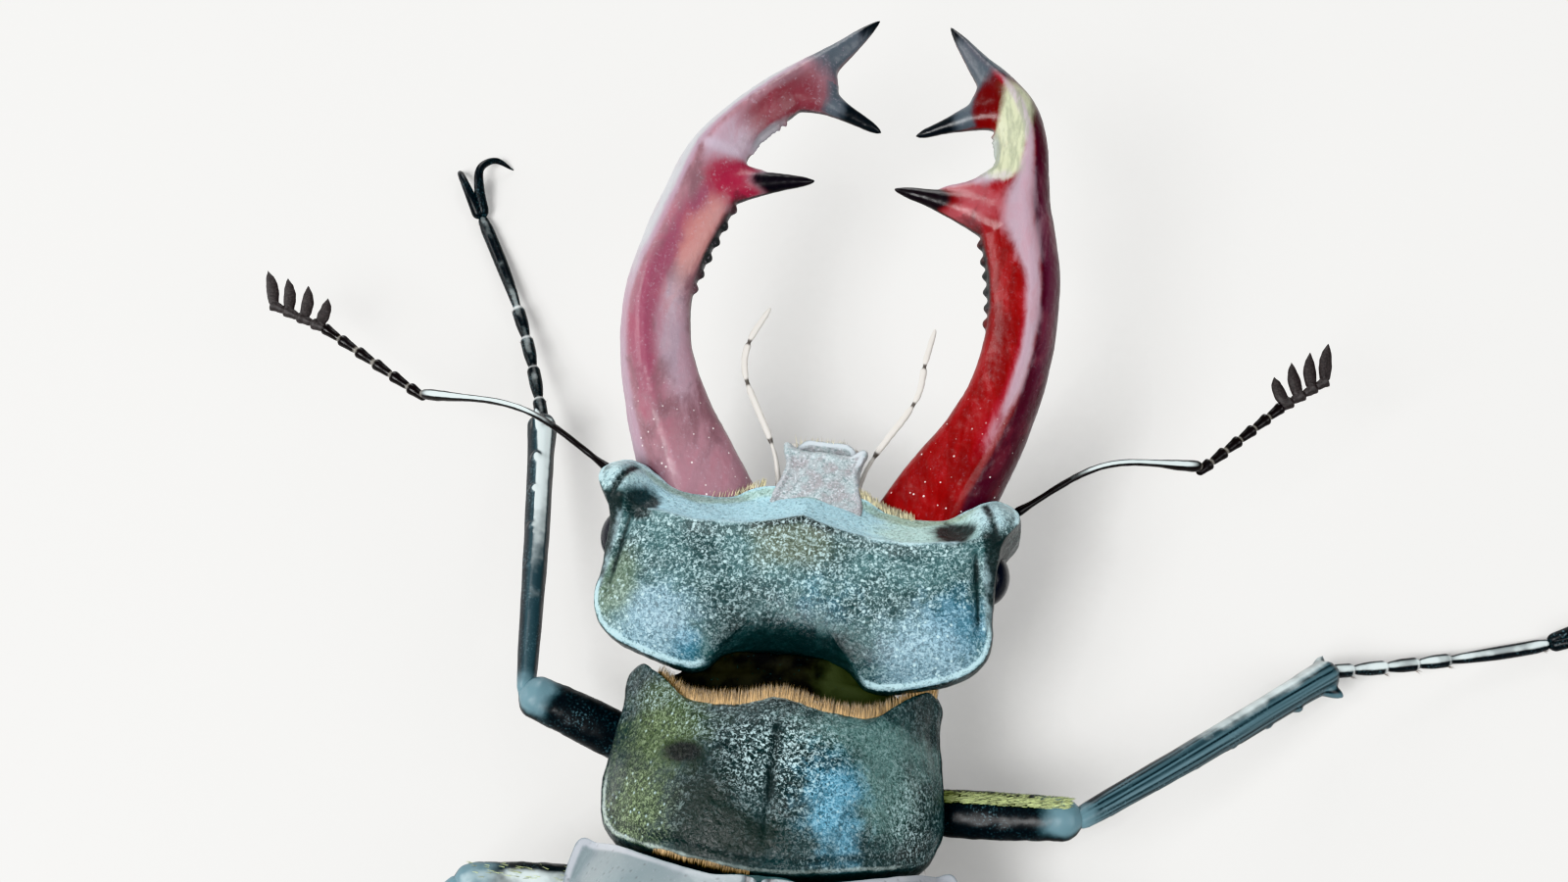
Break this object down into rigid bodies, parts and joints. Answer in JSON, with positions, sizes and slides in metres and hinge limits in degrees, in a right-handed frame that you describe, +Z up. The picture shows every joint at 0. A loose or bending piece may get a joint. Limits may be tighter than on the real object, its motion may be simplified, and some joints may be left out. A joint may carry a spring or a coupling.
{
  "type": "stag beetle",
  "caption": "Life-size model of a male stag beetle standing on its feet, with long forked jaws set apart, elbowed feelers and closed wing cases.",
  "frame": {"origin": "on the floor under the middle of the whole box, feeler tips, jaw tips and hind claws included", "axes": "+Z up from the floor; -Y the way the beetle faces; +X to the beetle's left"},
  "size_m": [0.0826, 0.098, 0.0169],
  "materials": {
    "shell": "satin blue-black to olive horn, finely pitted",
    "clypeus": "satin lilac-grey horn, finely grained",
    "jaw": "polished crimson to maroon horn with black teeth and tips",
    "wing_case": "polished chestnut-maroon horn with a lilac sheen",
    "limb": "glossy blue-black horn with a golden nap on the thighs",
    "feeler": "glossy black-brown horn, with a matt grey-brown club",
    "palp": "glossy brown horn, paler at the joints",
    "eye": "glossy black with fine facets"
  },
  "bodies": {
    "root": {"head": "shell", "mentum": "shell", "pronotum": "shell", "neck": "shell", "prosternum": "shell", "scutellum": "shell", "metasternum": "shell", "abdomen": "shell", "clypeus": "clypeus", "labrum": "clypeus", "eye_left": "eye", "mandible_left": "jaw", "elytron_left": "wing_case", "scape_left": "feeler", "funicle_left": "feeler", "club_left": "feeler", "maxillary_palp_left": "palp", "labial_palp_left": "palp", "eye_right": "eye", "mandible_right": "jaw", "elytron_right": "wing_case", "scape_right": "feeler", "funicle_right": "feeler", "club_right": "feeler", "maxillary_palp_right": "palp", "labial_palp_right": "palp", "coxa_fore_left": "limb", "femur_fore_left": "limb", "tibia_fore_left": "limb", "tarsus_fore_left": "limb", "claws_fore_left": "limb", "coxa_fore_right": "limb", "femur_fore_right": "limb", "tibia_fore_right": "limb", "tarsus_fore_right": "limb", "claws_fore_right": "limb", "coxa_mid_left": "limb", "femur_mid_left": "limb", "tibia_mid_left": "limb", "tarsus_mid_left": "limb", "claws_mid_left": "limb", "coxa_mid_right": "limb", "femur_mid_right": "limb", "tibia_mid_right": "limb", "tarsus_mid_right": "limb", "claws_mid_right": "limb", "coxa_hind_left": "limb", "femur_hind_left": "limb", "tibia_hind_left": "limb", "tarsus_hind_left": "limb", "claws_hind_left": "limb", "coxa_hind_right": "limb", "femur_hind_right": "limb", "tibia_hind_right": "limb", "tarsus_hind_right": "limb", "claws_hind_right": "limb"}
  },
  "joints": []
}
